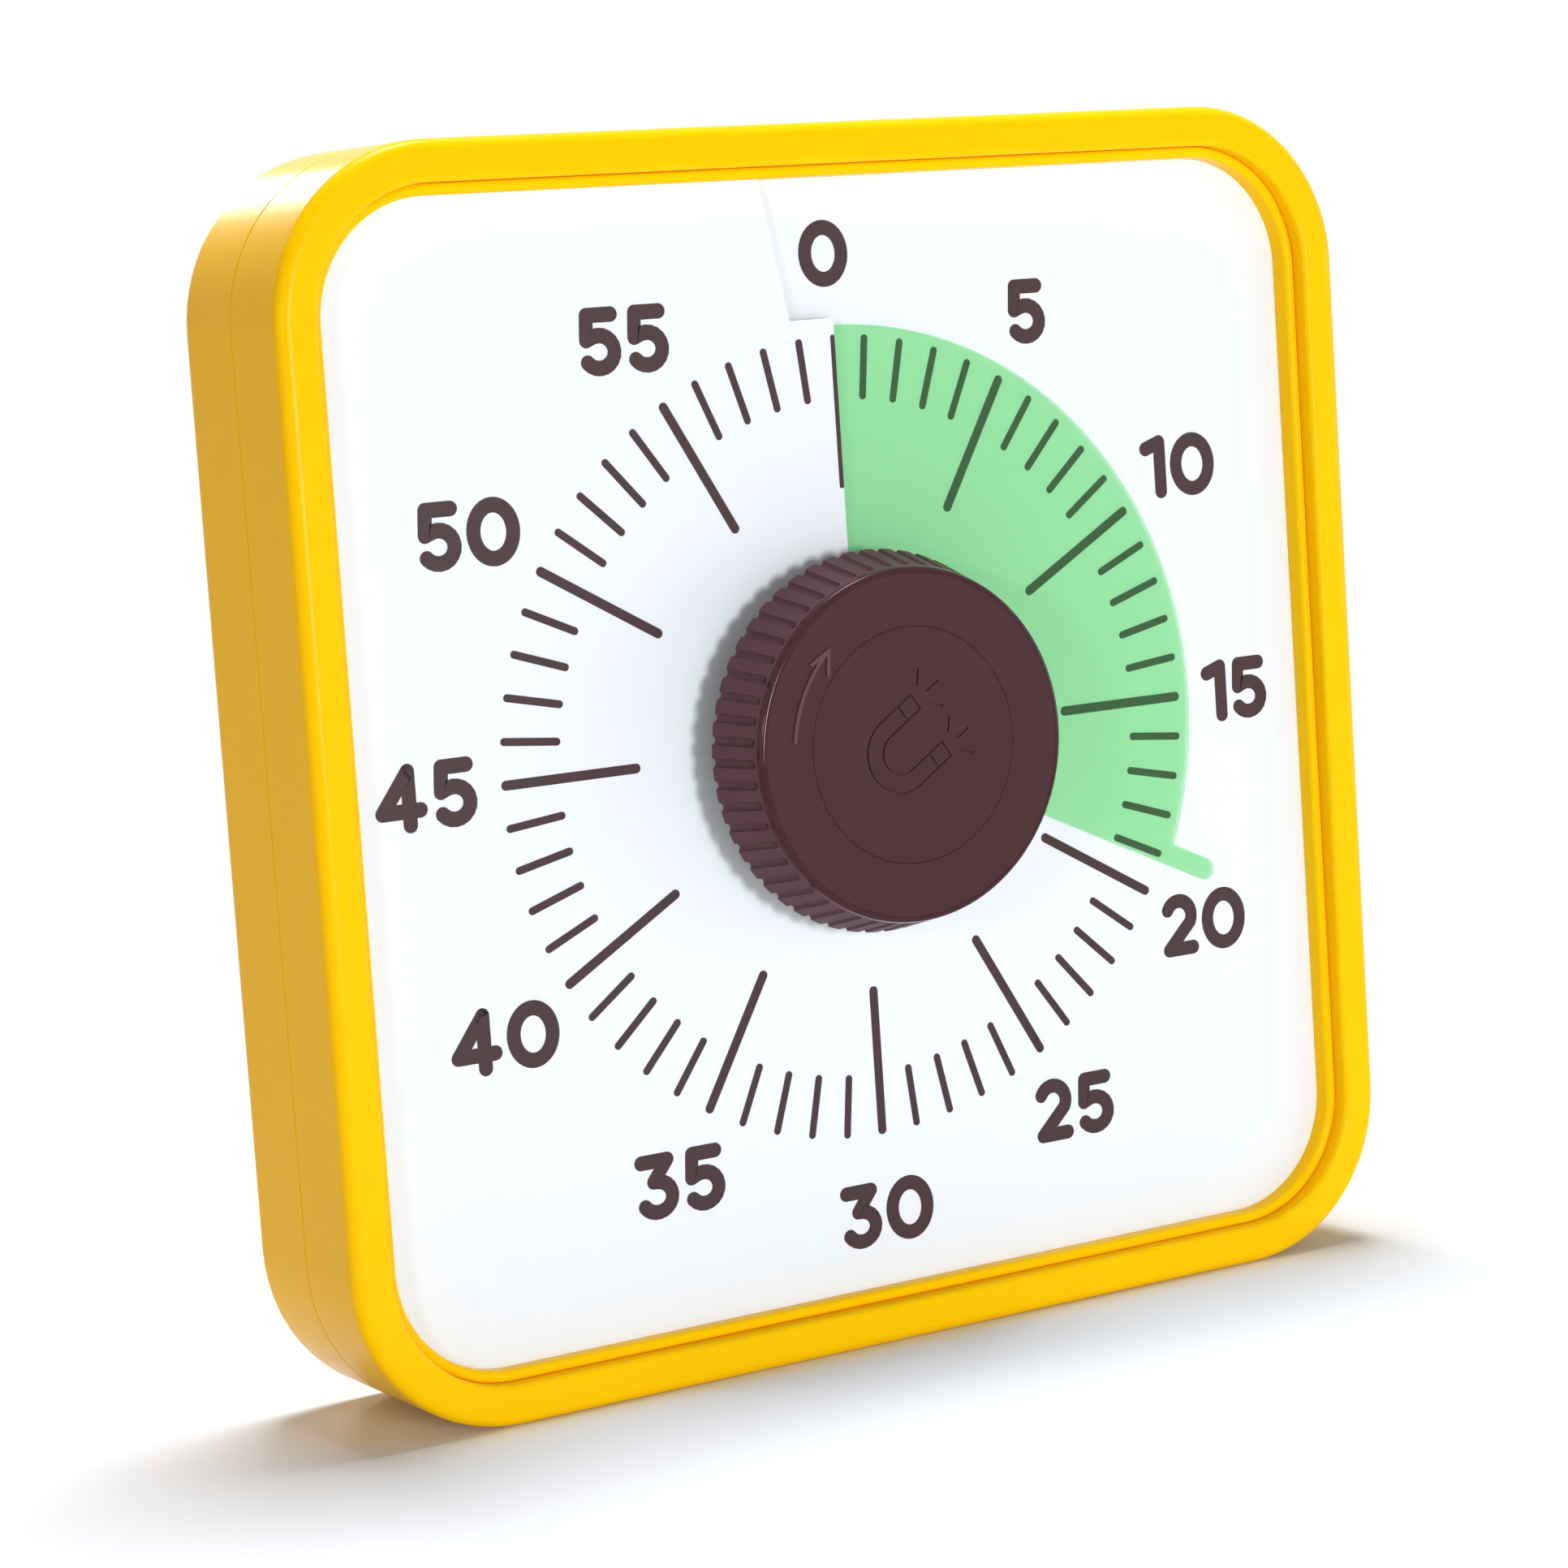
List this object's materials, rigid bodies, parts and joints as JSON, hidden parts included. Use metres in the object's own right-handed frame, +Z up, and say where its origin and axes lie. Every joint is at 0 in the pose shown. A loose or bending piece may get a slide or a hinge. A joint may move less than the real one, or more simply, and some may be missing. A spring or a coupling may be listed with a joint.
{
  "type": "visual countdown timer",
  "caption": "Square yellow visual timer: central fluted knob turns a green film disc out through a radial slit in a white ramped dial, over a geared quartz movement.",
  "frame": {"origin": "middle of the base, half way through the case's depth", "axes": "+Z up, -Y towards the viewer of the dial, +X to the viewer's right"},
  "size_m": [0.19, 0.0451, 0.19],
  "materials": {
    "yellow_plastic": "smooth satin moulding",
    "brown_plastic": "fine matt moulding",
    "white_card": "printed plastic card",
    "white_plastic": "plain moulding",
    "green_film": "translucent film",
    "gear_plastic": "acetal",
    "black_plastic": "plain moulding",
    "steel": "plain",
    "nickel": "nickel plate",
    "magnet_steel": "nickel-plated magnet",
    "brass": "turned",
    "copper_coil": "enamelled winding",
    "copper_wire": "enamelled wire",
    "battery_jacket": "plain jacket",
    "board_green": "solder mask",
    "red_rubber": "wire insulation",
    "black_rubber": "wire insulation"
  },
  "bodies": {
    "case": {"front_shell": "yellow_plastic", "rear_shell": "yellow_plastic", "dial_card": "white_card", "dial_carrier": "white_plastic", "arbor_bush": "brass", "stator": "steel", "coil": "copper_coil", "movement_front": "black_plastic", "movement_rear": "black_plastic", "battery": "battery_jacket", "plate_contact": "nickel", "spring_contact": "nickel", "circuit_board": "board_green", "volume_switch": "black_plastic", "buzzer": "black_plastic", "back_magnets": "magnet_steel", "case_screws": "steel", "movement_screws": "steel", "board_screws": "steel", "red_lead": "red_rubber", "black_lead": "black_rubber", "coil_leads": "copper_wire", "buzzer_leads": "black_rubber"},
    "knob": {"knob_body": "brown_plastic", "knob_cap": "brown_plastic", "knob_arbor": "steel", "knob_screw": "steel", "clutch_collar": "brass", "clutch_spring": "steel"},
    "film": {"film_disc": "green_film", "film_hub": "white_plastic"},
    "centre_wheel": {"centre_wheel": "gear_plastic"},
    "third_wheel": {"third_wheel": "gear_plastic"},
    "fourth_wheel": {"fourth_wheel": "gear_plastic"},
    "motor_rotor": {"rotor": "steel"},
    "slider": {"volume_slider": "brown_plastic"},
    "door": {"battery_door": "yellow_plastic"}
  },
  "joints": [
    {"name": "knob_turn", "type": "hinge", "parent": "case", "child": "knob", "pos_m": [0, 0, 0.095], "axis": [0, 1, 0], "range_deg": [-115.2, 244.8]},
    {"name": "film_feed", "type": "slide", "parent": "knob", "child": "film", "axis": [0, -1, 0], "range_m": [-0.00058, 0.00123]},
    {"name": "centre_wheel_spin", "type": "hinge", "parent": "case", "child": "centre_wheel", "pos_m": [0, 0, 0.095], "axis": [0, 1, 0], "continuous": true},
    {"name": "third_wheel_spin", "type": "hinge", "parent": "case", "child": "third_wheel", "pos_m": [-0.00599, 0, 0.07856], "axis": [0, 1, 0], "continuous": true},
    {"name": "fourth_wheel_spin", "type": "hinge", "parent": "case", "child": "fourth_wheel", "pos_m": [0.00441, 0, 0.07256], "axis": [0, 1, 0], "continuous": true},
    {"name": "rotor_spin", "type": "hinge", "parent": "case", "child": "motor_rotor", "pos_m": [0.01289, 0, 0.07746], "axis": [0, 1, 0], "continuous": true},
    {"name": "volume_slide", "type": "slide", "parent": "case", "child": "slider", "axis": [1, 0, 0], "range_m": [-0.003, 0.003]},
    {"name": "door_swing", "type": "hinge", "parent": "case", "child": "door", "pos_m": [0, 0.017, 0.02895], "axis": [-1, 0, 0], "range_deg": [0, 40]}
  ],
  "couplings": [
    {"joint": "film_feed", "follows": "knob_turn", "m_per_rad": 0.00028648},
    {"joint": "third_wheel_spin", "follows": "centre_wheel_spin", "ratio": -6},
    {"joint": "fourth_wheel_spin", "follows": "centre_wheel_spin", "ratio": 30},
    {"joint": "rotor_spin", "follows": "centre_wheel_spin", "ratio": -180}
  ]
}
